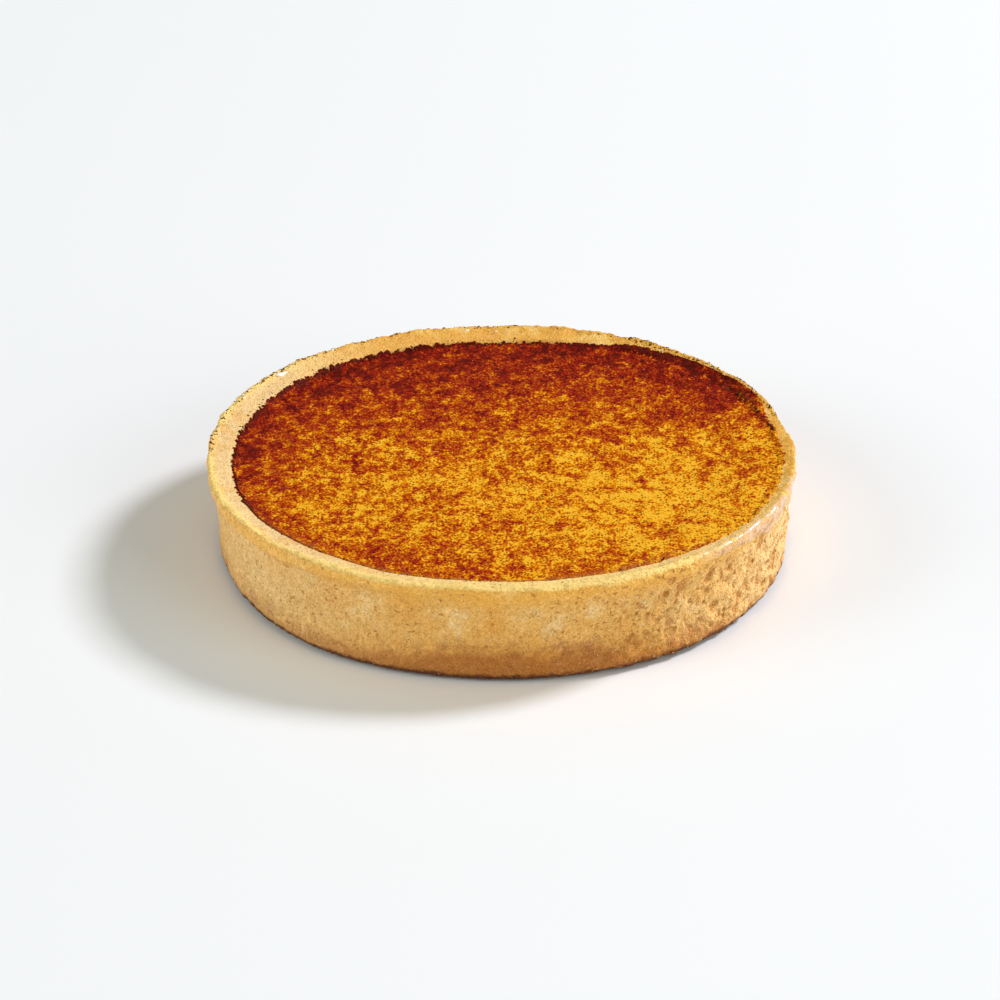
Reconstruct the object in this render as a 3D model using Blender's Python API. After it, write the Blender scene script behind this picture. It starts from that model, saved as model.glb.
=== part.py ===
"""Creme brulee tartlet: an open case of baked short pastry, filled with set custard whose top is torched.

Blender 4.5 script, metres, +Z up. The origin is the middle of the flat base that the tartlet stands on, and
the front of the tartlet faces -Y. Run it with: blender --background --python part.py
"""

import math

import bmesh
import bpy
from mathutils import Vector, noise

MM = 0.001

# Driving dimensions -------------------------------------------------------------------------------------------
RIM_RADIUS = 50.0 * MM  # the rim's widest ring
CASE_HEIGHT = 17.4 * MM  # table to the rim's crest
CAVITY_RADIUS = 45.9 * MM  # the hollow that the custard fills
FLOOR_THICKNESS = 3.0 * MM
CUSTARD_DEPTH_BELOW_CREST = 1.35 * MM
PIECE_GAP = 0.3 * MM  # kept between the pastry and the custard

# Outside of the case: a nearly upright wall under a trimmed rim that overhangs it a little
CREST_RISE = 0.8 * MM  # the rounded top of the rim above its widest ring
RIM_UNDERSIDE_DROP = 3.6 * MM  # from the widest ring down to where the wall starts
WALL_TOP_RADIUS = RIM_RADIUS - 1.6 * MM
WALL_FOOT_RADIUS = RIM_RADIUS - 2.1 * MM
FOOT_ROUNDING = 1.3 * MM

# Inside of the case
CAVITY_TAPER = 0.8 * MM  # the hollow is this much narrower at its floor
CAVITY_ROUNDING = 2.0 * MM

# How the hand-pressed shape leaves the true circle: (direction in degrees, half width in degrees, size)
RIM_BULGES = (
    (218, 30, 0.80 * MM),
    (182, 26, -0.60 * MM),
    (263, 28, -0.65 * MM),
    (60, 55, 0.40 * MM),
    (10, 30, -0.50 * MM),
    (302, 30, 0.30 * MM),
)
WALL_BULGES = (
    (0, 120, 0.40 * MM),
    (195, 60, -0.45 * MM),
    (330, 50, 0.45 * MM),
    (262, 35, -0.30 * MM),
    (50, 40, 0.25 * MM),
)
CAVITY_BULGES = (
    (0, 90, 0.80 * MM),
    (35, 40, 0.40 * MM),
    (90, 45, -0.55 * MM),
    (232, 45, -0.35 * MM),
    (325, 40, 0.25 * MM),
)

# How uneven the crest is: where the rim sags, as above, and (waves round the rim, height, phase in radians)
CREST_SAGS = ((214, 42, -0.40 * MM), (80, 35, -0.15 * MM))
CREST_WAVES = ((2, 0.08 * MM, 3.4), (5, 0.09 * MM, 0.5), (9, 0.07 * MM, 2.0), (14, 0.06 * MM, 5.2))
CREST_NICK_SIZE = 2.4 * MM
CREST_NICK_DEPTH = 0.20 * MM

# Baked crust
LUMP_SIZE = 6.0 * MM
LUMP_DEPTH = 0.14 * MM
CRAG_SIZE = 2.6 * MM
CRAG_DEPTH = 0.50 * MM
CRAG_DIRECTION = 328  # degrees: the coarse, pitted stretch of wall, to the front and right
CRAG_HALF_WIDTH = 62
SMOOTH_WALL_SHARE = 0.22  # share of the crags' depth that the rest of the wall has

# Torched top of the custard
MENISCUS_RISE = 0.35 * MM  # the custard clings to the pastry round its edge
MENISCUS_WIDTH = 2.6 * MM
EDGE_ROUNDING = 0.45 * MM
SWELL_SIZE = 13.0 * MM
SWELL_HEIGHT = 0.16 * MM
BLISTER_SIZE = 3.4 * MM
BLISTER_HEIGHT = 0.12 * MM

# Fineness of the meshes
CASE_STEPS = 160
FILLING_STEPS = 96
CREST_ROWS = 8
RIM_UNDERSIDE_ROWS = 4
WALL_ROWS = 6
FOOT_ROWS = 2
CAVITY_ROWS = 2
ROUNDING_ROWS = 2
TOP_RINGS = 14
TOP_CAP_RADIUS = 2.4 * MM

PASTRY_COLOUR = (0.70, 0.42, 0.16, 1.0)
PASTRY_ROUGHNESS = 0.75
CUSTARD_COLOUR = (0.62, 0.21, 0.012, 1.0)
CUSTARD_ROUGHNESS = 0.35

# Heights and radii that follow from them
RIM_HEIGHT = CASE_HEIGHT - CREST_RISE
WALL_TOP = RIM_HEIGHT - RIM_UNDERSIDE_DROP
CUSTARD_LEVEL = CASE_HEIGHT - CUSTARD_DEPTH_BELOW_CREST
CUSTARD_RADIUS = CAVITY_RADIUS - PIECE_GAP


# Small helpers ------------------------------------------------------------------------------------------------
def smooth_step(low, high, value):
    """0 below low, 1 above high, with a smooth rise between them."""
    share = min(1.0, max(0.0, (value - low) / (high - low)))
    return share * share * (3.0 - 2.0 * share)


def degrees_apart(one, other):
    """How far apart two directions are, from 0 to 180."""
    return abs((one - other + 180.0) % 360.0 - 180.0)


def line(start, end, rows):
    """Points after start, up to and including end, in equal steps."""
    return [
        (start[0] + (end[0] - start[0]) * i / rows, start[1] + (end[1] - start[1]) * i / rows)
        for i in range(1, rows + 1)
    ]


def soft_step(start, end, rows):
    """As line, but the radius changes slowly at both ends, so that it runs smoothly into what it joins."""
    return [
        (start[0] + (end[0] - start[0]) * smooth_step(0, rows, i), start[1] + (end[1] - start[1]) * i / rows)
        for i in range(1, rows + 1)
    ]


def arc(centre, half_width, half_height, start_degrees, end_degrees, rows):
    """Points of an elliptical arc after its start, up to and including its end."""
    points = []
    for i in range(1, rows + 1):
        angle = math.radians(start_degrees + (end_degrees - start_degrees) * i / rows)
        points.append((centre[0] + half_width * math.cos(angle), centre[1] + half_height * math.sin(angle)))
    return points


def bulge_sum(bulges, direction):
    """How far the bulges push the outline out at this direction in degrees."""
    total = 0.0
    for middle, half_width, size in bulges:
        away = degrees_apart(direction, middle) / half_width
        if away < 1.0:
            total += size * math.cos(away * math.pi / 2) ** 2
    return total


def turned(profile, steps):
    """Bmesh of a profile of (radius, height) points turned once about +Z, with both ends filled flat."""
    mesh = bmesh.new()
    verts = [mesh.verts.new((radius, 0.0, height)) for radius, height in profile]
    edges = [mesh.edges.new(pair) for pair in zip(verts, verts[1:])]
    bmesh.ops.spin(
        mesh,
        geom=verts + edges,
        cent=(0, 0, 0),
        axis=(0, 0, 1),
        angle=math.tau,
        steps=steps,
        use_merge=True,
    )
    bmesh.ops.holes_fill(mesh, edges=[edge for edge in mesh.edges if edge.is_boundary], sides=0)
    bmesh.ops.recalc_face_normals(mesh, faces=mesh.faces)
    mesh.normal_update()
    return mesh


def finished(name, mesh, colour, roughness):
    """The bmesh as a named object of the scene with its own material, shaded smooth."""
    data = bpy.data.meshes.new(name)
    mesh.to_mesh(data)
    mesh.free()
    data.shade_smooth()
    material = bpy.data.materials.new(name)
    material.use_nodes = True
    shader = material.node_tree.nodes["Principled BSDF"]
    shader.inputs["Base Color"].default_value = colour
    shader.inputs["Roughness"].default_value = roughness
    data.materials.append(material)
    piece = bpy.data.objects.new(name, data)
    bpy.context.scene.collection.objects.link(piece)


# The handmade outline that both pieces share ------------------------------------------------------------------
def hand_pressed(point):
    """A point of the true turned shape, moved in or out to where the hand-pressed dough has it.

    The rim, the wall and the hollow each have their own outline, and one runs smoothly into the next.
    """
    radius = math.hypot(point.x, point.y)
    if radius < TOP_CAP_RADIUS / 2:
        return point.copy()
    direction = math.degrees(math.atan2(point.y, point.x))
    rim_share = smooth_step(WALL_TOP, RIM_HEIGHT, point.z)
    outside = rim_share * bulge_sum(RIM_BULGES, direction) + (1 - rim_share) * bulge_sum(WALL_BULGES, direction)
    inside = bulge_sum(CAVITY_BULGES, direction) * radius / CAVITY_RADIUS
    outside_share = smooth_step(CAVITY_RADIUS, RIM_RADIUS - 2 * FOOT_ROUNDING, radius)
    push = inside + (outside - inside) * outside_share
    return Vector((point.x * (1 + push / radius), point.y * (1 + push / radius), point.z))


# Pastry case --------------------------------------------------------------------------------------------------
def cavity_profile(inset):
    """(radius, height) of the hollow's floor edge and foot, or of the custard's where inset is their gap."""
    floor = FLOOR_THICKNESS + inset
    foot_radius = CAVITY_RADIUS - CAVITY_TAPER - inset
    centre = (foot_radius - CAVITY_ROUNDING, floor + CAVITY_ROUNDING)
    return [
        (foot_radius - CAVITY_ROUNDING, floor),
        *arc(centre, CAVITY_ROUNDING, CAVITY_ROUNDING, -90, 0, ROUNDING_ROWS),
    ]


def case_profile():
    """(radius, height) of the case's wall, from the edge of the inner floor over the crest to the foot."""
    half_wall = (RIM_RADIUS - CAVITY_RADIUS) / 2
    crest_centre = (CAVITY_RADIUS + half_wall, RIM_HEIGHT)
    inside = cavity_profile(0.0)
    wall_top = (WALL_TOP_RADIUS, WALL_TOP)
    foot_top = (WALL_FOOT_RADIUS, FOOT_ROUNDING)
    foot_centre = (WALL_FOOT_RADIUS - FOOT_ROUNDING, FOOT_ROUNDING)
    return [
        *inside,
        *line(inside[-1], (CAVITY_RADIUS, RIM_HEIGHT), CAVITY_ROWS),
        *arc(crest_centre, half_wall, CREST_RISE, 180, 0, CREST_ROWS),
        *soft_step((RIM_RADIUS, RIM_HEIGHT), wall_top, RIM_UNDERSIDE_ROWS),
        *line(wall_top, foot_top, WALL_ROWS),
        *arc(foot_centre, FOOT_ROUNDING, FOOT_ROUNDING, 0, -90, FOOT_ROWS),
    ]


def crag_share(direction):
    """How craggy the wall is at this direction: 1 on the coarse stretch, a little elsewhere."""
    away = degrees_apart(direction, CRAG_DIRECTION) / CRAG_HALF_WIDTH
    return SMOOTH_WALL_SHARE + (1.0 - SMOOTH_WALL_SHARE) * (1.0 - smooth_step(0.5, 1.0, away))


def crust_relief(point):
    """How far the baked crust stands out (+) or in (-) at a point of the case's outside."""
    radius = math.hypot(point.x, point.y)
    outside = smooth_step(CAVITY_RADIUS, WALL_TOP_RADIUS, radius)
    above_table = smooth_step(0.1 * MM, FOOT_ROUNDING, point.z)
    lumps = noise.noise(point / LUMP_SIZE) * LUMP_DEPTH
    direction = math.degrees(math.atan2(point.y, point.x))
    crags = noise.noise(point / CRAG_SIZE) * CRAG_DEPTH * crag_share(direction)
    return (lumps + crags) * outside * above_table


def crest_lift(point):
    """How much the rim's crest rises or dips at a point, fading out below the rim."""
    near_crest = smooth_step(WALL_TOP, CASE_HEIGHT, point.z)
    angle = math.atan2(point.y, point.x)
    waves = sum(height * math.cos(count * angle + phase) for count, height, phase in CREST_WAVES)
    nicks = noise.noise(point / CREST_NICK_SIZE) * CREST_NICK_DEPTH
    sag = bulge_sum(CREST_SAGS, math.degrees(angle))
    return (waves + nicks + sag) * near_crest


def pastry_case():
    mesh = turned(case_profile(), CASE_STEPS)
    for vert in mesh.verts:
        point = vert.co.copy()
        vert.co = hand_pressed(point) + vert.normal * crust_relief(point)
        vert.co.z += crest_lift(point)
        if point.z < PIECE_GAP:
            vert.co.z = point.z
    return mesh


# Custard filling ----------------------------------------------------------------------------------------------
def filling_profile():
    """(radius, height) of the custard, from its underside up the side and over the top towards the middle."""
    side = cavity_profile(PIECE_GAP)
    edge = (CUSTARD_RADIUS, CUSTARD_LEVEL - EDGE_ROUNDING)
    top_edge = (CUSTARD_RADIUS - EDGE_ROUNDING, CUSTARD_LEVEL)
    return [
        *side,
        *line(side[-1], edge, CAVITY_ROWS),
        *arc((top_edge[0], edge[1]), EDGE_ROUNDING, EDGE_ROUNDING, 0, 90, ROUNDING_ROWS),
        *line(top_edge, (TOP_CAP_RADIUS, CUSTARD_LEVEL), TOP_RINGS),
    ]


def custard_relief(point):
    """Height of the torched top above or below the custard's level at a point."""
    radius = math.hypot(point.x, point.y)
    meniscus = MENISCUS_RISE * smooth_step(CUSTARD_RADIUS - MENISCUS_WIDTH, CUSTARD_RADIUS, radius)
    in_plan = Vector((point.x, point.y, 0.0))
    swell = noise.noise(in_plan / SWELL_SIZE) * SWELL_HEIGHT
    blisters = noise.noise(in_plan / BLISTER_SIZE) * BLISTER_HEIGHT
    near_top = smooth_step(CUSTARD_LEVEL - 2 * EDGE_ROUNDING, CUSTARD_LEVEL, point.z)
    return (meniscus + swell + blisters) * near_top


def custard_filling():
    mesh = turned(filling_profile(), FILLING_STEPS)
    for vert in mesh.verts:
        point = vert.co.copy()
        vert.co = hand_pressed(point)
        vert.co.z += custard_relief(point)
    return mesh


# The tartlet --------------------------------------------------------------------------------------------------
def box_middle(mesh):
    """The middle of the bmesh's box in plan, at height 0."""
    xs = [vert.co.x for vert in mesh.verts]
    ys = [vert.co.y for vert in mesh.verts]
    return Vector(((min(xs) + max(xs)) / 2, (min(ys) + max(ys)) / 2, 0.0))


def build():
    for leftover in list(bpy.data.objects):
        bpy.data.objects.remove(leftover)
    case = pastry_case()
    filling = custard_filling()
    middle = box_middle(case)
    for mesh in (case, filling):
        bmesh.ops.translate(mesh, verts=mesh.verts, vec=-middle)
    finished("pastry_case", case, PASTRY_COLOUR, PASTRY_ROUGHNESS)
    finished("custard_filling", filling, CUSTARD_COLOUR, CUSTARD_ROUGHNESS)


build()
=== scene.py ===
"""Looks of a creme brulee tartlet: baked short pastry, torched custard, burnt sugar and a run of glaze.

Blender 4.5 script.
"""

import math
import random

import bmesh
import bpy
from mathutils import Matrix, Vector, noise
from mathutils.bvhtree import BVHTree


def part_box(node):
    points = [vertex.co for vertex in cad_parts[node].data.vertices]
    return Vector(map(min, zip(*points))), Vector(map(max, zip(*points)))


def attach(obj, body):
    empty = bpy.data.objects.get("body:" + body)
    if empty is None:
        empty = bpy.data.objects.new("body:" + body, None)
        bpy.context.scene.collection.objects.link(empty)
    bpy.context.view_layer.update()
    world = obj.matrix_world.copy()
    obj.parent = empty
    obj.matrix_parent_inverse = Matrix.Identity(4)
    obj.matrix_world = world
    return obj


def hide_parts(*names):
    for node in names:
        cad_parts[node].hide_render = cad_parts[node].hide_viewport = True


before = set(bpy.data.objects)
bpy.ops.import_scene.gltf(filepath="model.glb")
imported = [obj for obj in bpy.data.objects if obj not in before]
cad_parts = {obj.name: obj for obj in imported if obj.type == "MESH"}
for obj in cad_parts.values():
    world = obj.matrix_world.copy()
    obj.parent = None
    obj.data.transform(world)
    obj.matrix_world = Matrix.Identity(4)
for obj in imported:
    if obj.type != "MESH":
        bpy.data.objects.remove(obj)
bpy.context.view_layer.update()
bpy.ops.object.select_all(action="DESELECT")

# ========================================================================================================
# The pastry case
# Short pastry rolled about 4 mm thick, pressed by hand into a ring and trimmed along its top edge. It is
# baked until the wall is tan and the foot brown. The rim stays pale, and the front right of the wall has
# blistered.
# ========================================================================================================
MM = 0.001
RIM_RADIUS = 50.0 * MM
CAVITY_RADIUS = 45.9 * MM
WALL_RADIUS = 48.1 * MM
FOOT_ROUNDING = 1.3 * MM
STANDING_RADIUS = 42.0 * MM
FLOOR_HEIGHT = 3.0 * MM
RIM_HEIGHT = 16.6 * MM
WALL_TOP = 13.0 * MM
CREST_HEIGHT = 17.4 * MM
CASE_SIDES = 240
WALL_STEPS = 9
BLANK_RINGS = (
    (STANDING_RADIUS, 0.0),
    (STANDING_RADIUS + 2.8 * MM, 0.0),
    (WALL_RADIUS - FOOT_ROUNDING, 0.0),
    (WALL_RADIUS - 0.35 * FOOT_ROUNDING, 0.35 * FOOT_ROUNDING),
    (WALL_RADIUS, FOOT_ROUNDING),
    *(
        (WALL_RADIUS, FOOT_ROUNDING + (WALL_TOP - FOOT_ROUNDING) * i / WALL_STEPS)
        for i in range(1, WALL_STEPS + 1)
    ),
    (WALL_RADIUS + 0.8 * MM, WALL_TOP + 1.2 * MM),
    (WALL_RADIUS + 1.6 * MM, WALL_TOP + 2.4 * MM),
    (RIM_RADIUS, RIM_HEIGHT),
    (RIM_RADIUS - 0.7 * MM, RIM_HEIGHT + 0.65 * MM),
    (RIM_RADIUS - 2.05 * MM, CREST_HEIGHT),
    (CAVITY_RADIUS + 0.7 * MM, RIM_HEIGHT + 0.65 * MM),
    (CAVITY_RADIUS, RIM_HEIGHT),
    (CAVITY_RADIUS, RIM_HEIGHT - 2.0 * MM),
)
UNDERSIDE_RINGS = 12


def edit(piece):
    """Make this the one selected piece, and open it in edit mode with nothing selected."""
    bpy.ops.object.select_all(action="DESELECT")
    piece.select_set(True)
    bpy.context.view_layer.objects.active = piece
    bpy.ops.object.mode_set(mode="EDIT")
    bpy.ops.mesh.select_all(action="DESELECT")


def close_edit():
    """Leave edit mode with no piece selected."""
    bpy.ops.object.mode_set(mode="OBJECT")
    bpy.ops.object.select_all(action="DESELECT")


def apply_modifier(piece, kind, **settings):
    """Add a modifier with these settings and apply it at once."""
    bpy.context.view_layer.objects.active = piece
    added = piece.modifiers.new(kind.lower(), kind)
    for name, value in settings.items():
        setattr(added, name, value)
    bpy.ops.object.modifier_apply(modifier=added.name)


def smooth_step(low, high, value):
    """0 below low, 1 above high, with a smooth rise between them."""
    share = min(1.0, max(0.0, (value - low) / (high - low)))
    return share * share * (3.0 - 2.0 * share)


def direction_of(point):
    """The direction from the middle of the tartlet, in degrees from +X towards +Y, 0 to 360."""
    return math.degrees(math.atan2(point.y, point.x)) % 360.0


def near_value(value, middle, half_width):
    """1 at middle, falling smoothly to 0 at half_width from it."""
    return 1.0 - smooth_step(0.0, half_width, abs(value - middle))


def near_direction(point, middle, half_width):
    """1 in this direction, falling smoothly to 0 at half_width degrees from it."""
    away = abs((direction_of(point) - middle + 180.0) % 360.0 - 180.0)
    return 1.0 - smooth_step(0.45 * half_width, half_width, away)


def weigh(piece, name, weight_at):
    """A vertex group that holds weight_at(point) for each point of the mesh."""
    group = piece.vertex_groups.new(name=name)
    for vert in piece.data.vertices:
        weight = weight_at(vert.co)
        if weight > 0.003:
            group.add([vert.index], weight, "REPLACE")
    return group.name


def relief(piece, name, kind, size, height, group="", mid=0.5, direction="NORMAL", **settings):
    """Displace the piece by this height, by a procedural texture with features about size across."""
    texture = bpy.data.textures.new(name, kind)
    texture.noise_scale = size
    for key, value in settings.items():
        setattr(texture, key, value)
    apply_modifier(
        piece,
        "DISPLACE",
        texture=texture,
        texture_coords="LOCAL",
        strength=height,
        mid_level=mid,
        direction=direction,
        vertex_group=group,
    )


def extrude_rings(rings):
    """Extrude the selected loop from ring to ring of (radius, height), the first of which it is at."""
    for (radius, height), (next_radius, next_height) in zip(rings, rings[1:]):
        bpy.ops.mesh.extrude_edges_move(TRANSFORM_OT_translate={"value": (0, 0, next_height - height)})
        share = next_radius / radius
        bpy.ops.transform.resize(value=(share, share, 1), center_override=(0, 0, next_height))


def select_open_loop(piece, wanted):
    """In edit mode, select the open loop whose points all fit."""
    bpy.ops.mesh.select_mode(type="EDGE")
    bpy.ops.mesh.select_all(action="DESELECT")
    mesh = bmesh.from_edit_mesh(piece.data)
    for edge in mesh.edges:
        if edge.is_boundary and all(wanted(vert.co) for vert in edge.verts):
            edge.select_set(True)
    bmesh.update_edit_mesh(piece.data)


# The blank: a ring under the foot, extruded and resized ring by ring up the wall and over the crest.
bpy.ops.mesh.primitive_circle_add(
    vertices=CASE_SIDES, radius=STANDING_RADIUS, location=(0, 0, 0), fill_type="NOTHING"
)
case = bpy.context.object
case.name = case.data.name = "baked_case"
edit(case)
bpy.ops.mesh.select_mode(type="EDGE")
bpy.ops.mesh.select_all(action="SELECT")
extrude_rings(BLANK_RINGS)
close_edit()

# The hand-pressed form comes from the solid case, and its facets are smoothed away.
apply_modifier(case, "SUBSURF", levels=2, render_levels=2)
apply_modifier(case, "SHRINKWRAP", target=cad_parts["pastry_case"], wrap_method="NEAREST_SURFACEPOINT")
apply_modifier(case, "SMOOTH", factor=0.5, iterations=4)

# The foot has risen off the table round its edge, and flares a little in front. The crest is a ridge near
# the outside, a little higher at the back than in front. From the ridge the trimmed edge slopes down to the
# filling, and this slope is widest at the back left and in front. Directions are in degrees from +X to +Y.
FOOT_LIFT = 0.28 * MM
FOOT_FLARE = 1.05 * MM
FOOT_TOP = 6.0 * MM
FLARE_DIRECTION, FLARE_SPREAD = 268.0, 72.0
CREST_RAISE = 0.24 * MM
CREST_TILT = 0.05 * MM
HIGHEST_DIRECTION = 62.0
RIDGE_RADIUS = 49.2 * MM
RIDGE_WIDTH = 0.9 * MM
RIDGE_RAISE = 0.12 * MM
SLOPE_WIDTH = 1.6 * MM
INWARD_DROP = 0.62 * MM
INWARD_LEAN = 1.15 * MM
BACK_SLOPE_DIRECTION, BACK_SLOPE_SPREAD = 138.0, 88.0
FRONT_SLOPE_DIRECTION, FRONT_SLOPE_SPREAD, FRONT_SLOPE_SHARE = 262.0, 72.0, 0.75


def crest_change(point, radius):
    """How much the crest is raised at this point."""
    near_crest = smooth_step(WALL_TOP - 3.0 * MM, RIM_HEIGHT, point.z)
    on_top = smooth_step(RIM_HEIGHT - 2.0 * MM, RIM_HEIGHT, point.z)
    tilt = CREST_TILT * math.cos(math.radians(direction_of(point) - HIGHEST_DIRECTION))
    ridge = RIDGE_RAISE * near_value(radius, RIDGE_RADIUS + 0.1 * MM, RIDGE_WIDTH)
    drop = INWARD_DROP * min(1.0, max(0.0, (RIDGE_RADIUS - radius) / SLOPE_WIDTH))
    return (tilt + CREST_RAISE) * near_crest + (ridge - drop) * on_top


def foot_flare(point, radius):
    """How far the foot stands further out at this point."""
    flared = FOOT_FLARE * near_direction(point, FLARE_DIRECTION, FLARE_SPREAD)
    flared *= smooth_step(STANDING_RADIUS, WALL_RADIUS - MM, radius)
    return flared * (1.0 - smooth_step(1.0 * MM, FOOT_TOP, point.z))


def inward_lean(point, radius):
    """How far the inner slope of the crest leans in at this point."""
    widest = max(
        near_direction(point, BACK_SLOPE_DIRECTION, BACK_SLOPE_SPREAD),
        FRONT_SLOPE_SHARE * near_direction(point, FRONT_SLOPE_DIRECTION, FRONT_SLOPE_SPREAD),
    )
    leaning = INWARD_LEAN * widest * smooth_step(WALL_TOP - MM, RIM_HEIGHT - MM, point.z)
    return leaning * (1.0 - smooth_step(CAVITY_RADIUS + 0.3 * MM, RIDGE_RADIUS - 0.3 * MM, radius))


for vert in case.data.vertices:
    point = vert.co.copy()
    radius = math.hypot(point.x, point.y)
    lifted = smooth_step(STANDING_RADIUS, WALL_RADIUS - 0.6 * MM, radius)
    lifted *= 1.0 - smooth_step(1.5 * MM, FOOT_TOP, point.z)
    outwards = foot_flare(point, radius) - inward_lean(point, radius)
    vert.co.z += FOOT_LIFT * lifted + crest_change(point, radius)
    vert.co.x *= 1.0 + outwards / radius
    vert.co.y *= 1.0 + outwards / radius
apply_modifier(case, "SMOOTH", factor=0.5, iterations=2)

# The underside and the floor of the hollow close the case.
edit(case)
select_open_loop(case, lambda point: point.z < WALL_TOP * 0.5)
extrude_rings([(STANDING_RADIUS * (1 - i / UNDERSIDE_RINGS), 0.0) for i in range(UNDERSIDE_RINGS)])
bpy.ops.mesh.merge(type="COLLAPSE")
select_open_loop(case, lambda point: point.z > WALL_TOP * 0.5)
extrude_rings(
    [BLANK_RINGS[-1], (CAVITY_RADIUS - 0.8 * MM, FLOOR_HEIGHT), (0.5 * CAVITY_RADIUS, FLOOR_HEIGHT)]
)
bpy.ops.mesh.merge(type="COLLAPSE")
bpy.ops.mesh.select_all(action="SELECT")
bpy.ops.mesh.normals_make_consistent(inside=False)
close_edit()


def outside_share(point):
    """1 on the outside of the wall and over the crest, 0 inside the hollow and underneath."""
    radius = math.hypot(point.x, point.y)
    beyond_hollow = smooth_step(CAVITY_RADIUS - 0.3 * MM, CAVITY_RADIUS + 1.2 * MM, radius)
    return beyond_hollow * smooth_step(0.05 * MM, 0.8 * MM, point.z)


BLISTER_DIRECTION, BLISTER_SPREAD = 325.0, 50.0


def coarse_share(point):
    """1 where the wall has blistered, at the front right."""
    below_rim = 1.0 - smooth_step(RIM_HEIGHT - 2.2 * MM, RIM_HEIGHT, point.z)
    return near_direction(point, BLISTER_DIRECTION, BLISTER_SPREAD) * outside_share(point) * below_rim


def crest_share(point):
    """1 on the crest."""
    return smooth_step(RIM_HEIGHT - 1.2 * MM, RIM_HEIGHT + 0.2 * MM, point.z) * outside_share(point)


def crumbly_share(point):
    """The outside, less where the blisters have stretched it smooth."""
    return outside_share(point) * (1.0 - 0.55 * coarse_share(point))


def foot_share(point):
    """1 at the bottom of the wall."""
    return (1.0 - smooth_step(0.8 * MM, 3.2 * MM, point.z)) * outside_share(point)


outside = weigh(case, "outside", outside_share)
coarse = weigh(case, "coarse", coarse_share)
crumbly = weigh(case, "crumbly", crumbly_share)
crest = weigh(case, "crest", crest_share)
foot = weigh(case, "foot", foot_share)
plain_points = [vert.co.copy() for vert in case.data.vertices]
plain_normals = [vert.normal.copy() for vert in case.data.vertices]

relief(case, "soft_lumps", "CLOUDS", 3.5 * MM, 0.22 * MM, outside, noise_depth=1)
relief(case, "crumb", "CLOUDS", 0.75 * MM, 0.20 * MM, crumbly, noise_depth=2)
relief(case, "crest_steps", "CLOUDS", 5.0 * MM, 0.60 * MM, crest, noise_depth=2)
relief(case, "crest_nicks", "CLOUDS", 1.2 * MM, 0.42 * MM, crest, noise_depth=2)
relief(case, "crest_crumb", "CLOUDS", 0.5 * MM, 0.26 * MM, crest, noise_depth=1)
relief(case, "blisters", "CLOUDS", 1.6 * MM, 0.26 * MM, coarse, noise_depth=1)
relief(case, "pits", "VORONOI", 0.9 * MM, 0.20 * MM, coarse, mid=0.75, contrast=1.6)
relief(case, "pores", "VORONOI", 2.6 * MM, 0.36 * MM, coarse, mid=0.85, contrast=2.0)
relief(case, "foot_crumbs", "CLOUDS", 0.9 * MM, 0.50 * MM, foot, noise_depth=2)
case.vertex_groups.clear()

# Round pits that burst bubbles left in the blistered part of the wall. Each is flat up to PIT_BOTTOM from
# its middle and ends at PIT_RIM, as shares of the spacing.
PIT_SPACING = 2.1 * MM
PIT_DEPTH = 0.50 * MM
PIT_BOTTOM, PIT_RIM = 0.10, 0.27
normals = [vert.normal.copy() for vert in case.data.vertices]
for vert, normal in zip(case.data.vertices, normals):
    share = coarse_share(vert.co)
    if share > 0.05:
        away = noise.voronoi(vert.co / PIT_SPACING)[0][0]
        vert.co -= normal * (PIT_DEPTH * share * (1.0 - smooth_step(PIT_BOTTOM, PIT_RIM, away)))

# How far the relief stands out (+) or in (-) at each point, and how far the plain surface there faces up.
standing = case.data.attributes.new("standing", "FLOAT", "POINT")
upward = case.data.attributes.new("upward", "FLOAT", "POINT")
for vert, point, normal in zip(case.data.vertices, plain_points, plain_normals):
    standing.data[vert.index].value = (vert.co - point).dot(normal) / MM
    upward.data[vert.index].value = normal.z
case.data.shade_smooth()


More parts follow.
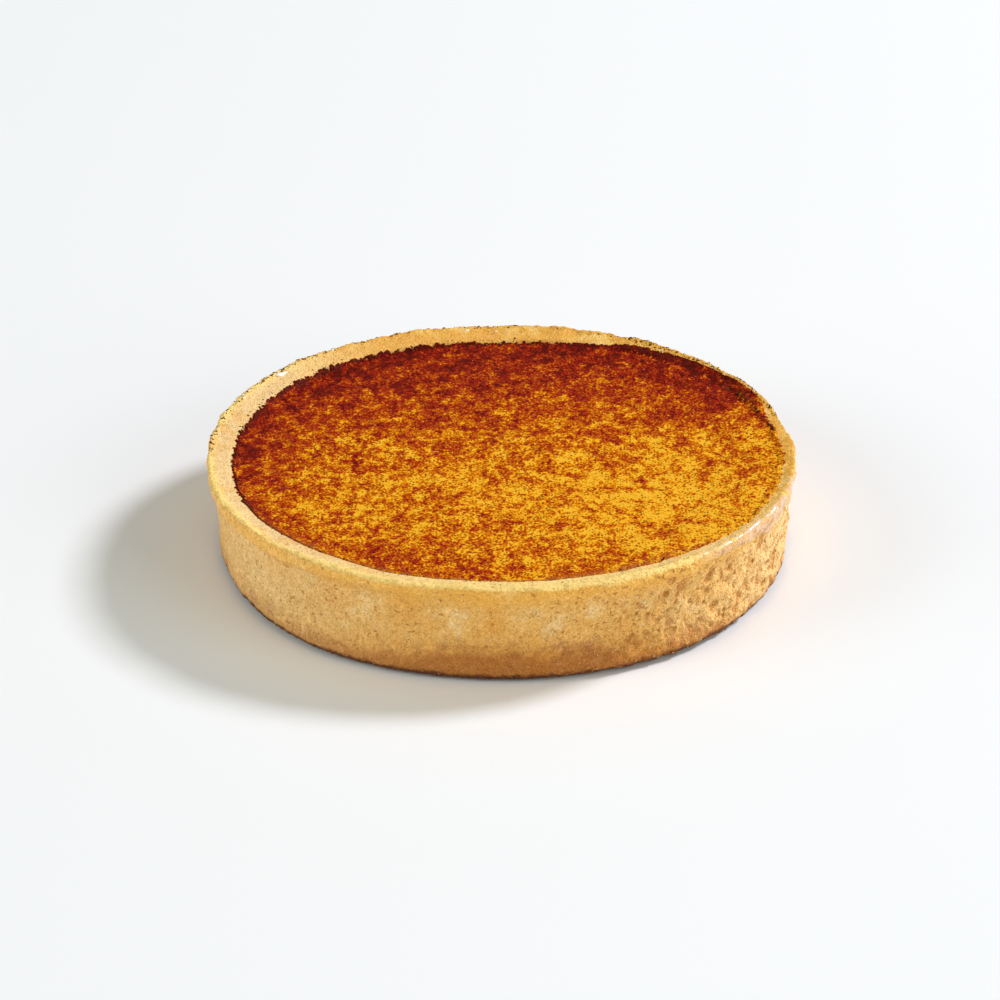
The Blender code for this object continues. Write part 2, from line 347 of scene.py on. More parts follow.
class Signal:
    """One output of a material's nodes. Sums on signals add Math nodes to the material."""

    def __init__(self, tree, socket):
        self.tree = tree
        self.socket = socket

    def node(self, kind, settings=None, inputs=None, output=0):
        """Add a node: its settings first, a ramp's stops among them, then its sockets' values or links."""
        made = self.tree.nodes.new(kind)
        for name, value in (settings or {}).items():
            if name == "stops":
                elements = made.color_ramp.elements
                while len(elements) < len(value):
                    elements.new(0.5)
                for element, (position, colour) in zip(elements, value):
                    element.position = position
                    element.color = colour
            else:
                setattr(made, name, value)
        for key, value in (inputs or {}).items():
            if isinstance(value, Signal):
                self.tree.links.new(value.socket, made.inputs[key])
            else:
                made.inputs[key].default_value = value
        return Signal(self.tree, made.outputs[output])

    def maths(self, operation, *values):
        """A Math node with this operation on these values, signals or plain numbers."""
        return self.node("ShaderNodeMath", {"operation": operation}, dict(enumerate(values)))

    def __add__(self, other):
        return self.maths("ADD", self, other)

    def __radd__(self, other):
        return self.maths("ADD", other, self)

    def __sub__(self, other):
        return self.maths("SUBTRACT", self, other)

    def __rsub__(self, other):
        return self.maths("SUBTRACT", other, self)

    def __mul__(self, other):
        return self.maths("MULTIPLY", self, other)

    def __rmul__(self, other):
        return self.maths("MULTIPLY", other, self)

    def __truediv__(self, other):
        return self.maths("DIVIDE", self, other)

    def __pow__(self, other):
        return self.maths("POWER", self, other)

    def rise(self, low, high):
        """0 below low, 1 above high, with a smooth rise between them; low above high makes it a fall."""
        return self.node(
            "ShaderNodeMapRange",
            {"interpolation_type": "SMOOTHSTEP", "clamp": True},
            {"Value": self, "From Min": low, "From Max": high},
        )

    def near(self, middle, half_width):
        """1 where this signal is at middle, falling smoothly to 0 at half_width from it."""
        return self.maths("ABSOLUTE", self - middle).rise(half_width, 0.0)

    def facing(self, middle):
        """The cosine of the angle between this direction and the middle one, both in degrees."""
        angle = (self - middle) * math.radians(1)
        return angle.maths("COSINE", angle)

    def clouds(self, size, detail=2.0, roughness=0.5, distortion=0.0, offset=(0, 0, 0)):
        """Soft noise from 0 to 1 over this place, with features about size across."""
        moved = self.node("ShaderNodeVectorMath", {"operation": "ADD"}, {0: self, 1: offset})
        return self.node(
            "ShaderNodeTexNoise",
            {"noise_dimensions": "3D"},
            {
                "Vector": moved,
                "Scale": 1.0 / size,
                "Detail": detail,
                "Roughness": roughness,
                "Distortion": distortion,
            },
        )

    def cells(self, size, output=0):
        """Voronoi cells about size across: output 0 is the distance in cells, 1 their random colours."""
        return self.node("ShaderNodeTexVoronoi", {}, {"Vector": self, "Scale": 1.0 / size}, output)

    def layered(self, sizes, weights, offset=(0, 0, 0)):
        """The sum of single-octave noises, each from -1 to 1 at most, of these sizes and weights."""
        total = 0.0
        for i, (size, weight) in enumerate(zip(sizes, weights)):
            shift = tuple(value + 0.37 * i for value in offset)
            total = (self.clouds(size, 0.0, 0.5, 0.0, shift) - 0.5) * (2.0 * weight) + total
        return total

    def part(self, axis):
        """The X, Y or Z of this vector, or the red, green or blue of this colour."""
        return self.node("ShaderNodeSeparateXYZ", {}, {0: self}, "XYZ".index(axis))

    def toned(self, amount, reds, greens, blues):
        """This colour, its red, green and blue raised by these shares of the amount."""
        shares = {"X": reds, "Y": greens, "Z": blues}
        inputs = {axis: amount * share + 1.0 for axis, share in shares.items()}
        factors = self.node("ShaderNodeCombineXYZ", {}, inputs)
        return self.node("ShaderNodeVectorMath", {"operation": "MULTIPLY"}, {0: self, 1: factors})

    def over(self, under, top):
        """The colour top where this signal is 1, over the colour under where it is 0."""
        return self.node("ShaderNodeMix", {"data_type": "RGBA"}, {0: self, 6: under, 7: top}, 2)


def new_finish(name, roughness, specular):
    """A material with its Principled shader, and the place on the piece in metres as a signal."""
    material = bpy.data.materials.new(name)
    material.use_nodes = True
    tree = material.node_tree
    shader = tree.nodes["Principled BSDF"]
    shader.inputs["Roughness"].default_value = roughness
    shader.inputs["Specular IOR Level"].default_value = specular
    coordinates = tree.nodes.new("ShaderNodeTexCoord")
    return material, shader, Signal(tree, coordinates.outputs["Object"])


def plug(signal, shader, socket):
    """Link a signal to one of the shader's sockets."""
    signal.tree.links.new(signal.socket, shader.inputs[socket])


def bump_by(height, shader, strength, distance):
    """Bump on this shader, from a height signal."""
    values = {"Strength": strength, "Distance": distance, "Height": height}
    plug(height.node("ShaderNodeBump", {}, values), shader, "Normal")


def direction_signals(place):
    """The distance from the tartlet's axis and the height in millimetres, and the direction, -180 to 180."""
    x = place.part("X") / MM
    y = place.part("Y") / MM
    distance = (x * x + y * y) ** 0.5
    direction = x.maths("ARCTAN2", y, x) * math.degrees(1)
    return distance, place.part("Z") / MM, direction


TAN = (0.83, 0.465, 0.130, 1)
DEEP_TAN = (0.78, 0.375, 0.072, 1)
PALE_TAN = (0.91, 0.635, 0.295, 1)
FOOT_BROWN = (0.40, 0.125, 0.024, 1)
FOOT_CONTACT_SHADE = (0.115, 0.034, 0.012, 1)
PAINTED_GLINT = (0.95, 0.76, 0.42, 1)
TOAST_AND_GLOW = (0.96, 0.495, 0.080, 1)
CREST_CREAM = (0.96, 0.68, 0.228, 1)
CREST_TOAST = (0.80, 0.40, 0.085, 1)
CREST_GOLD = (0.75, 0.360, 0.036, 1)
INNER_CREAM = (0.86, 0.58, 0.28, 1)
PIT_SHADE_AND_PORE_BROWN = (0.50, 0.195, 0.035, 1)
SCORCH = (0.050, 0.015, 0.006, 1)

pastry, shader, place = new_finish("baked_short_pastry", roughness=0.60, specular=0.12)
distance, height, direction = direction_signals(place)
standing = place.node("ShaderNodeAttribute", {"attribute_name": "standing"}, {}, 2)
upward = place.node("ShaderNodeAttribute", {"attribute_name": "upward"}, {}, 2)

# Numbers below are millimetres for heights and distances, degrees for directions, and shares for the rest.
patches = place.clouds(7 * MM, 3, 0.6) - 0.5
mottle = place.clouds(2.2 * MM, 3, 0.7) - 0.5
grain = place.layered((0.28 * MM, 0.5 * MM, 0.9 * MM, 1.8 * MM), (1.15, 0.65, 0.36, 0.30))
coarse_side = direction.facing(BLISTER_DIRECTION - 360.0).rise(0.45, 0.92)
left_side = direction.near(-150.0, 55.0)
right_side = direction.near(0.0, 60.0)
bright_front = direction.near(-82.0, 62.0) * 0.85
golden = direction.facing(50.0).rise(-0.15, 0.55)

# The wall: tan in two shades, with paler patches, and paler at the left and at the right, partly paler crumb
# and partly painted light.
colour = (patches * 2.6 + mottle + 0.30).rise(0.0, 1.0).over(TAN, DEEP_TAN)
colour = ((patches * -2.0 + mottle * -1.5).rise(0.10, 0.60) * 0.85).over(colour, PALE_TAN)
# Partly paler crumb and partly painted light: the left and the right of the wall are painted paler.
paler_crumb_and_painted_light = left_side * 0.55 + direction.near(-18.0, 50.0) * 0.65
colour = paler_crumb_and_painted_light.over(colour, PALE_TAN)

# The foot is browner, highest up in front, and has painted contact shade at its very bottom. The top of the
# wall is partly toasted and partly painted with a glow of light shining through the thin rim.
front_brown = direction.near(-80.0, 48.0) * 3.4
browning = height + patches * 8.0 + mottle * 6.0 - front_brown + coarse_side * 1.6
colour = (browning.rise(5.6, 1.4) * (0.85 - left_side * 0.40)).over(colour, FOOT_BROWN)
# Painted contact shade: the lowest part of the foot, where it stands on the table, is painted near-black.
colour = ((height + mottle * 1.6).rise(1.90, 1.05) * 0.94).over(colour, FOOT_CONTACT_SHADE)
# The band under the rim is partly toasting and partly a painted glow of light shining through the thin rim.
toast_and_glow = (height + patches * 2.0 + mottle * 1.5).rise(12.4, 15.8) * distance.rise(46.0, 47.5)
colour = (toast_and_glow * (0.60 - right_side * 0.35)).over(colour, TOAST_AND_GLOW)

# The crest: cream, golden at the back right, with paler and toasted patches, and toasted by the custard at
# the back.
crest_mask = (upward + mottle * 0.8 + bright_front * 0.22).rise(0.34, 0.90) * height.rise(12.0, 14.0)
crest_colour = (golden * 0.85).over(CREST_CREAM, CREST_GOLD)
inner = (distance + mottle * 1.2).rise(48.9, 47.6) * (1.0 - golden) * (1.0 - bright_front)
crest_colour = (inner * 0.85).over(crest_colour, INNER_CREAM)
pale_patches = (patches * -1.8 + mottle * -1.8).rise(0.04, 0.34) * golden * 0.75
crest_colour = pale_patches.over(crest_colour, CREST_CREAM)
by_custard = (distance + mottle * 3.0).rise(48.4, 46.6) * direction.near(100.0, 62.0)
crest_colour = (by_custard * 0.60).over(crest_colour, CREST_TOAST)
toasted_patches = (mottle * 1.6 + patches * 1.6).rise(0.0, 0.24) * (0.42 + golden * 0.28)
toasted_patches = toasted_patches + direction.near(98.0, 45.0) * 0.20
crest_colour = (toasted_patches * (1.0 - bright_front * 0.8)).over(crest_colour, CREST_TOAST)
colour = crest_mask.over(colour, crest_colour)

# Pits are painted browner the deeper they lie, as painted shade; pores are brown; the crumb varies grain by
# grain; and pale specks here and there are painted glints of fat and sugar.
# Painted shade: the deeper a point lies in a pit, the browner it is painted.
colour = (standing.rise(-0.16, -0.42) * 0.70).over(colour, PIT_SHADE_AND_PORE_BROWN)
pore_clouds = place.clouds(0.9 * MM, 2, 0.6, 0.6, (0.21, 0.4, 0))
pores = (pore_clouds + mottle * 0.35 + coarse_side * 0.05).rise(0.64, 0.70)
colour = (pores * (1.0 - crest_mask) * 0.75).over(colour, PIT_SHADE_AND_PORE_BROWN)
grain_strength = 0.95 + coarse_side * 0.10 + paler_crumb_and_painted_light * 0.30 - crest_mask * 0.30
colour = colour.toned(grain * grain_strength, 0.22, 0.30, 0.46)
# Painted glints: pale specks stand in for fat and sugar catching the light.
painted_glints = place.clouds(0.42 * MM, 1, 0.5, 0.0, (0.9, 0.3, 0)).rise(0.66, 0.74) * (0.14 + coarse_side * 0.42)
colour = (painted_glints * (1.0 - crest_mask)).over(colour, PAINTED_GLINT)

# Scorched specks, thickest along the outer edge of the crest at the back.
speckled = direction.near(42.0, 42.0) * distance.rise(47.6, 48.6) * 0.09
speckled = speckled + direction.near(138.0, 42.0) * distance.rise(48.0, 49.2) * 0.16
specks = (place.clouds(0.60 * MM, 3, 0.75, 0.4, (0.3, 0.7, 0)) + speckled).rise(0.685, 0.72) * crest_mask
colour = specks.over(colour, SCORCH)
plug(colour, shader, "Base Color")
bump_by(grain * 1.0 + mottle * 0.8 - pores * 1.2, shader, strength=0.8, distance=0.10 * MM)
glossy = (place.clouds(1.6 * MM, 2, 0.6, 0.0, (0.5, 0.1, 0)) * crest_mask).rise(0.60, 0.68)
plug(0.62 - glossy * 0.40, shader, "Roughness")
case.data.materials.append(pastry)

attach(case, "root")
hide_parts("pastry_case")

# ========================================================================================================
# The torched custard
# Baked custard that fills the case almost to its crest. Sugar strewn over it was melted and browned with a
# torch, so its top is a thin mottled caramel skin, darkest along the back and left, that climbs up the rim.
# ========================================================================================================
CUSTARD_RADIUS = 45.6 * MM
CUSTARD_LEVEL = 16.05 * MM
INTO_PASTRY = 2.2 * MM
SKIN = 0.08 * MM
GRID_SIDE = 38
SURFACE_LEVELS = 3
filling_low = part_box("custard_filling")[0]

bpy.ops.mesh.primitive_circle_add(
    vertices=4 * GRID_SIDE, radius=CUSTARD_RADIUS, location=(0, 0, CUSTARD_LEVEL), fill_type="NOTHING"
)
custard = bpy.context.object
custard.name = custard.data.name = "torched_custard"
edit(custard)
bpy.ops.mesh.select_all(action="SELECT")
bpy.ops.mesh.fill_grid(span=GRID_SIDE)
close_edit()
custard.select_set(True)
bpy.context.view_layer.objects.active = custard
bpy.ops.object.transform_apply(location=True, rotation=True, scale=True)
apply_modifier(
    custard,
    "SUBSURF",
    levels=SURFACE_LEVELS,
    render_levels=SURFACE_LEVELS,
    subdivision_type="SIMPLE",
)
apply_modifier(custard, "SMOOTH", factor=0.5, iterations=12)
apply_modifier(
    custard,
    "SHRINKWRAP",
    target=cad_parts["custard_filling"],
    wrap_method="PROJECT",
    use_project_z=True,
    use_negative_direction=True,
    use_positive_direction=True,
)
apply_modifier(custard, "SMOOTH", factor=0.5, iterations=6)


def towards(direction):
    """The level unit vector in this direction, in degrees."""
    angle = math.radians(direction)
    return Vector((math.cos(angle), math.sin(angle), 0))


def surface_of(piece):
    """The faces of a piece, to measure distances to by rays."""
    points = [piece.matrix_world @ vert.co for vert in piece.data.vertices]
    return BVHTree.FromPolygons(points, [tuple(face.vertices) for face in piece.data.polygons])


# The hollow's own outline, measured just under the crest in steps of a degree.
baked_case = surface_of(case)
hollow_radii = []
for step in range(360):
    spot = baked_case.ray_cast(Vector((0, 0, RIM_HEIGHT - 1.0 * MM)), towards(step))[0]
    hollow_radii.append(math.hypot(spot.x, spot.y))


def hollow_radius(point):
    """The hollow's radius in the direction of this point, between the two nearest measured ones."""
    steps = direction_of(point)
    first = int(steps) % 360
    share = steps - int(steps)
    return hollow_radii[first] * (1 - share) + hollow_radii[(first + 1) % 360] * share


# The skin reaches past the hollow's edge and lies on the pastry there, by an uneven amount. It is fullest on
# the right, where it meets the crest.
LOWEST_EDGE = -0.10 * MM
FULLEST_EDGE = 0.70 * MM
MENISCUS_WIDTH = 11 * MM
for vert in custard.data.vertices:
    share = (hollow_radius(vert.co) + INTO_PASTRY) / CUSTARD_RADIUS
    vert.co.x *= share
    vert.co.y *= share
    radius = math.hypot(vert.co.x, vert.co.y)
    fullness = LOWEST_EDGE + (FULLEST_EDGE - LOWEST_EDGE) * near_direction(vert.co, 0, 100)
    vert.co.z += fullness * smooth_step(CUSTARD_RADIUS - MENISCUS_WIDTH, CUSTARD_RADIUS, radius)
whole = weigh(custard, "whole", lambda point: 1.0)
relief(custard, "swell", "CLOUDS", 9 * MM, 0.20 * MM, whole, direction="Z", noise_depth=1)
relief(custard, "blistering", "CLOUDS", 1.5 * MM, 0.16 * MM, whole, direction="Z", noise_depth=2)
relief(custard, "sugar_grain", "CLOUDS", 0.6 * MM, 0.10 * MM, whole, direction="Z", noise_depth=1)
custard.vertex_groups.clear()


# How far the skin reaches past the hollow's edge, in millimetres: everywhere, more where it is burnt, where
# it ran at the right, and where it climbs the slope at the back right.
LEAST_REACH, BURNT_REACH, RUNNY_REACH, CLIMBING_REACH = 0.10, 0.15, 0.75, 1.90


def skin_reach(point):
    """How far past the hollow's edge the skin lies on the pastry in this direction, in metres."""
    burnt = near_direction(point, 150, 120)
    runny = near_direction(point, -12, 75)
    ragged = noise.fractal(point / (0.9 * MM), 1.0, 2.0, 3)
    slow = noise.noise(point / (5.0 * MM))
    climbing = near_direction(point, 44, 30)
    reach = LEAST_REACH + BURNT_REACH * burnt + RUNNY_REACH * runny + CLIMBING_REACH * climbing
    return (reach + ragged * (0.45 + 0.20 * burnt) + slow * 0.45) * MM


def pastry_height(point, outwards):
    """The height of the baked pastry outwards of this point by this much, or None over the hollow."""
    share = 1.0 + outwards / math.hypot(point.x, point.y)
    above = Vector((point.x * share, point.y * share, 2 * CREST_HEIGHT))
    spot = baked_case.ray_cast(above, Vector((0, 0, -1)))[0]
    return spot.z if spot and spot.z > WALL_TOP else None


# The skin lies on the pastry as far as it reaches. Past that it dips under the pastry's surface.
EDGE_BAND = 1.2 * MM
for vert in custard.data.vertices:
    beyond = math.hypot(vert.co.x, vert.co.y) - hollow_radius(vert.co)
    if beyond > -EDGE_BAND:
        heights = [pastry_height(vert.co, outwards * MM) for outwards in (0.0, 0.2, 0.4)]
        here = heights[0]
        known = [value for value in heights if value is not None]
        if beyond < skin_reach(Vector((vert.co.x, vert.co.y, 0))):
            if known:
                vert.co.z = max(vert.co.z, max(known) + SKIN)
        elif here is not None:
            vert.co.z = here - 3 * SKIN

# How far each point lies past the hollow's edge, in millimetres.
past_edge = custard.data.attributes.new("past_edge", "FLOAT", "POINT")
for vert in custard.data.vertices:
    past_edge.data[vert.index].value = (math.hypot(vert.co.x, vert.co.y) - hollow_radius(vert.co)) / MM

# The side and the underside, which the case hides, close the piece.
edit(custard)
select_open_loop(custard, lambda point: True)
extrude_rings(
    (
        (CUSTARD_RADIUS + INTO_PASTRY, CUSTARD_LEVEL),
        (CUSTARD_RADIUS, CUSTARD_LEVEL - 1.6 * MM),
        (CUSTARD_RADIUS - 0.8 * MM, filling_low.z + 1.0 * MM),
        (CUSTARD_RADIUS - 3.0 * MM, filling_low.z + 0.4 * MM),
    )
)
bpy.ops.mesh.edge_face_add()
bpy.ops.mesh.select_all(action="SELECT")
bpy.ops.mesh.normals_make_consistent(inside=False)
close_edit()
custard.data.shade_smooth()

# The caramel's colour by how far it is browned, from golden custard to burnt sugar.
CARAMEL_STOPS = (
    (0.00, (0.870, 0.450, 0.026, 1)),
    (0.06, (0.795, 0.348, 0.006, 1)),
    (0.12, (0.735, 0.276, 0.003, 1)),
    (0.21, (0.650, 0.200, 0.003, 1)),
    (0.30, (0.565, 0.140, 0.003, 1)),
    (0.40, (0.475, 0.087, 0.003, 1)),
    (0.50, (0.405, 0.050, 0.004, 1)),
    (0.60, (0.345, 0.026, 0.005, 1)),
    (0.74, (0.270, 0.012, 0.004, 1)),
    (0.88, (0.195, 0.008, 0.004, 1)),
    (1.00, (0.095, 0.006, 0.004, 1)),
)
SUGAR_CHAR = (0.150, 0.026, 0.004, 1)
THIN_SKIN = (0.66, 0.285, 0.062, 1)

# Where the torch lingered (+) or passed quickly (-): the middle and half width along x, then along y, and
# how much.
TORCH_MARKS = (
    (36.0, 15.0, 24.0, 20.0, 0.26),
    (26.0, 34.0, -20.0, 23.0, -0.13),
    (-10.0, 25.0, -35.0, 21.0, 0.15),
    (-15.0, 13.0, 20.0, 12.0, 0.06),
    (1.0, 12.0, 19.0, 10.0, -0.07),
    (-19.0, 15.0, 8.0, 9.0, -0.05),
    (-31.0, 14.0, 20.0, 14.0, -0.09),
    (-40.0, 12.0, -8.0, 16.0, -0.10),
)

caramel, shader, place = new_finish("torched_caramel", roughness=0.45, specular=0.015)
distance, height, direction = direction_signals(place)
x = place.part("X") / MM
y = place.part("Y") / MM

# The browning, 0 to 1: it deepens towards the back and the left, and along the edge at the back left and
# the front left.
to_back_left = (x * -0.26 + y * 0.97) / 46.0
burn = 0.180 + to_back_left.rise(-0.30, 1.0) * 0.56
burn = burn + x.rise(-14.0, -46.0) * 0.13
edge_left = distance.rise(35.0, 46.5) * (x * -0.75 + y * 0.66).rise(-12.0, 30.0)
burn = burn + edge_left * 0.12
burn = burn + distance.rise(36.0, 46.0) * (y + x * 0.6).rise(-8.0, -40.0) * 0.20
for x_middle, x_half, y_middle, y_half, amount in TORCH_MARKS:
    burn = burn + x.near(x_middle, x_half) * y.near(y_middle, y_half) * amount

# The flecks are drawn out a little from front to back.
drawn = place.node("ShaderNodeVectorMath", {"operation": "MULTIPLY"}, {0: place, 1: (1.0, 0.82, 1.0)})
patch = drawn.clouds(9 * MM, 2, 0.5, 0.0, (0.11, 0, 0)) - 0.5
fleck_sizes = (0.34 * MM, 0.62 * MM, 1.1 * MM, 2.1 * MM, 4.2 * MM)
flecks = drawn.layered(fleck_sizes, (0.53, 0.34, 0.30, 0.32, 0.25), (0.05, 0.02, 0))
blots = drawn.clouds(2.4 * MM, 3, 0.65, 0.0, (0.6, 0.2, 0)).rise(0.56, 0.72)

# The very edge is burnt all along the back and left, and by patches on the slope at the back right.
past = place.node("ShaderNodeAttribute", {"attribute_name": "past_edge"}, {}, 2)
back_edge = (past + flecks).rise(-0.75, 0.35) * (x * -0.80 + y * 0.60).rise(-26.0, 4.0)
slope_edge = (past + flecks * 2.0).rise(-1.6, 0.9) * direction.near(42.0, 32.0) * 0.62
very_edge = back_edge.maths("MAXIMUM", back_edge, slope_edge)
burn = burn + patch * 0.34 + flecks + blots * 0.27 + very_edge * 0.42
colour = place.node("ShaderNodeValToRGB", {"stops": CARAMEL_STOPS}, {0: burn})

# The skin is thin over the pastry in front, and single grains are charred all over.
DOT_SIZE = 0.50 * MM
thin_edge = (past + flecks * 2.2).rise(-1.5, 0.3) * direction.near(-98.0, 72.0)
colour = (thin_edge * 0.60).over(colour, THIN_SKIN)
dot_chance = drawn.cells(DOT_SIZE, output=1).part("X")
dots = drawn.cells(DOT_SIZE).rise(0.42, 0.26) * dot_chance.rise(0.40, 0.52)
colour = (dots * 0.80).over(colour, SUGAR_CHAR)
plug(colour, shader, "Base Color")
plug(0.55 - burn.rise(0.3, 0.9) * 0.16, shader, "Roughness")
bump_by(flecks * 1.2 + dots * 0.4, shader, strength=0.6, distance=0.14 * MM)
custard.data.materials.append(caramel)

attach(custard, "root")
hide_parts("custard_filling")

# ========================================================================================================
# The run of sugar glaze
# Clear sugar syrup that ran over the rim at the front right before it set. It is a thin glossy film over the
# crest and the top of the wall, pinkish over the pastry, with an uneven lower edge. The pinkish paleness is
# partly the syrup's tint and partly painted sheen.
# ========================================================================================================
GLAZE_START = -56.0
GLAZE_END = -6.0
GLAZE_COLUMNS = 280
GLAZE_ROWS = 26
GLAZE_THICKNESS = 0.13 * MM
GLAZE_MIDDLE = Vector((48.7 * MM, 0, 16.2 * MM))
GLAZE_TOP_ANGLE = 84.0
GLAZE_SHOULDER = 0.45
RUN_DIRECTION, RUN_SPREAD = -21.0, 20.0
RUN_DEPTH = 3.2 * MM
LEAST_DEPTH = 0.25 * MM
DRIPS_PER_DEGREE = 0.16

plain_case = BVHTree.FromPolygons(plain_points, [tuple(face.vertices) for face in case.data.polygons])


def glaze_depth(direction):
    """How far down the wall the film has run in this direction, in metres."""
    run = near_value(direction, RUN_DIRECTION, RUN_SPREAD)
    drips = noise.fractal(Vector((direction * DRIPS_PER_DEGREE, 0, 3.1)), 1.0, 2.0, 3)
    return LEAST_DEPTH + RUN_DEPTH * run + drips * (0.2 + 0.9 * run) * MM


def glaze_point(direction, down):
    """A point of the film: down runs from 0 on top of the crest to 1 at the lower edge."""
    outwards = towards(direction)
    if down < GLAZE_SHOULDER:
        profile = math.radians(GLAZE_TOP_ANGLE * (1 - down / GLAZE_SHOULDER))
        middle = outwards * GLAZE_MIDDLE.x + Vector((0, 0, GLAZE_MIDDLE.z))
        away = outwards * math.cos(profile) + Vector((0, 0, math.sin(profile)))
        spot, normal, _, _ = plain_case.ray_cast(middle + away * 6 * MM, -away)
    else:
        low = GLAZE_MIDDLE.z - glaze_depth(direction) * (down - GLAZE_SHOULDER) / (1 - GLAZE_SHOULDER)
        outside = outwards * (1.2 * RIM_RADIUS) + Vector((0, 0, low))
        spot, normal, _, _ = plain_case.ray_cast(outside, -outwards)
    return spot, normal


# A flat grid is laid over the crest and down the wall. Its border dips under the pastry, and from there it
# thickens over a ninth of its depth and a fifth of its length. It fades out towards where it starts.
bpy.ops.mesh.primitive_grid_add(x_subdivisions=GLAZE_COLUMNS, y_subdivisions=GLAZE_ROWS, size=1.0)
glaze = bpy.context.object
glaze.name = glaze.data.name = "sugar_glaze"
clearness = glaze.data.attributes.new("clearness", "FLOAT", "POINT")
for vert in glaze.data.vertices:
    along, down = vert.co.x + 0.5, 0.5 - vert.co.y
    direction = GLAZE_START + along * (GLAZE_END - GLAZE_START)
    spot, normal = glaze_point(direction, down)
    rim_share = min(down, 1 - down) * 9.0
    end_share = min(along, 1 - along) * 5.0
    inside = min(1.0, rim_share, end_share)
    wave = noise.noise(spot / (1.7 * MM)) * 0.05 * MM
    vert.co = spot + normal * (GLAZE_THICKNESS * (1.7 * smooth_step(0.0, 1.0, inside) - 0.7) + wave)
    faded = 0.15 + 0.85 * smooth_step(0.0, 0.55, along)
    clearness.data[vert.index].value = smooth_step(0.1, 0.9, inside) * faded
edit(glaze)
bpy.ops.mesh.select_all(action="SELECT")
bpy.ops.mesh.normals_make_consistent(inside=False)
close_edit()
glaze.data.shade_smooth()

SYRUP_AMBER = (0.86, 0.60, 0.40, 1)
SYRUP_PINK_AND_SHEEN = (0.90, 0.70, 0.54, 1)

syrup, shader, place = new_finish("set_sugar_syrup", roughness=0.16, specular=0.7)
clear = place.node("ShaderNodeAttribute", {"attribute_name": "clearness"}, {}, 2)
streaks = place.clouds(1.8 * MM, 3, 0.6)
# The pale pink streaks are partly the syrup's tint and partly painted sheen.
plug(streaks.rise(0.35, 0.65).over(SYRUP_AMBER, SYRUP_PINK_AND_SHEEN), shader, "Base Color")
plug(clear * (streaks.rise(0.30, 0.62) * 0.44 + 0.18), shader, "Alpha")
plug(place.clouds(0.7 * MM, 2) * 0.25 + 0.06, shader, "Roughness")
ripple = place.clouds(0.9 * MM, 2, 0.5, 0.3, (0.2, 0.6, 0))
bump_by(ripple, shader, strength=0.5, distance=0.15 * MM)
glaze.data.materials.append(syrup)

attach(glaze, "root")

# ========================================================================================================
# Burnt sugar crumbs
# Grains of sugar that fell on the rim and were charred by the torch: near-black crumbs 0.1 to 1 mm long,
# stuck along the crest, on the slope at the back right, and round the border of the custard.
# ========================================================================================================
baked_custard = surface_of(custard)
chance = random.Random(3)


def resting_place(direction, radius):
    """The highest surface at this direction, in degrees, and radius, or just inside it, with its normal."""
    found = []
    while not found:
        above = towards(direction) * radius + Vector((0, 0, 2 * CREST_HEIGHT))
        spots = [tree.ray_cast(above, Vector((0, 0, -1)))[:2] for tree in (baked_case, baked_custard)]
        found = [spot for spot in spots if spot[0] and spot[0].z > WALL_TOP]
        radius -= 0.1 * MM
    return max(found, key=lambda spot: spot[0].z)


LUMP_UNEVENNESS = 0.85
LUMP_NOISE = 2.6
LUMP_WIDTHS = (0.45, 0.85)


def scatter(name, rows, squash, turned):
    """One piece of many small lumps, turned from the rim's own run by up to this angle.

    Each row is a count, a range of directions in degrees, what its radii are measured from, "axis" or "edge"
    of the hollow, and the ranges of its radii and of its lengths in millimetres.
    """
    bpy.ops.mesh.primitive_ico_sphere_add(subdivisions=2, radius=0.5, location=(0, 0, 0))
    pattern = bpy.context.object
    lumps = bmesh.new()
    for count, directions, measured_from, radii, lengths in rows:
        for _ in range(count):
            direction = chance.uniform(*directions)
            radius = chance.uniform(*radii)
            if measured_from == "edge":
                radius += hollow_radius(towards(direction)) / MM
            spot, normal = resting_place(direction, radius * MM)
            length = lengths[0] + (lengths[1] - lengths[0]) * chance.random() ** 2
            side = normal.cross(Vector((-spot.y, spot.x, 0))).normalized()
            lie = Matrix((side.cross(normal), side, normal)).transposed().to_4x4()
            turn = Matrix.Rotation(chance.uniform(-turned, turned), 4, "Z")
            size = Matrix.Diagonal((length, length * chance.uniform(*LUMP_WIDTHS), length * squash, 1))
            made = len(lumps.verts)
            lumps.from_mesh(pattern.data)
            lumps.verts.ensure_lookup_table()
            seed = Vector((chance.uniform(0, 99), chance.uniform(0, 99), 0))
            place_it = Matrix.Translation(spot) @ lie @ turn @ size @ Matrix.Scale(MM, 4)
            for vert in lumps.verts[made:]:
                uneven = LUMP_UNEVENNESS * noise.noise(vert.co * LUMP_NOISE + seed)
                vert.co = place_it @ (vert.co * (1.0 + uneven))
    lumps.to_mesh(pattern.data)
    lumps.free()
    pattern.name = pattern.data.name = name
    pattern.data.shade_smooth()
    return pattern


CRUMB_ROWS = (
    (170, (108, 184), "axis", (48.6, 49.5), (0.16, 0.55)),
    (90, (56, 108), "axis", (48.6, 49.5), (0.14, 0.42)),
    (330, (16, 64), "axis", (48.5, 49.8), (0.14, 0.45)),
    (190, (22, 62), "axis", (45.8, 48.4), (0.18, 0.60)),
    (60, (10, 34), "edge", (-0.4, 0.5), (0.30, 0.95)),
    (280, (80, 212), "edge", (-0.5, 0.5), (0.20, 0.65)),
    (50, (85, 170), "edge", (0.4, 1.2), (0.15, 0.45)),
    (170, (212, 338), "edge", (-0.3, 0.5), (0.14, 0.42)),
    (70, (225, 300), "edge", (0.4, 1.9), (0.10, 0.30)),
    (46, (96, 182), "axis", (47.0, 49.2), (0.10, 0.26)),
)
crumbs = scatter("burnt_sugar_crumbs", CRUMB_ROWS, 0.42, math.pi)

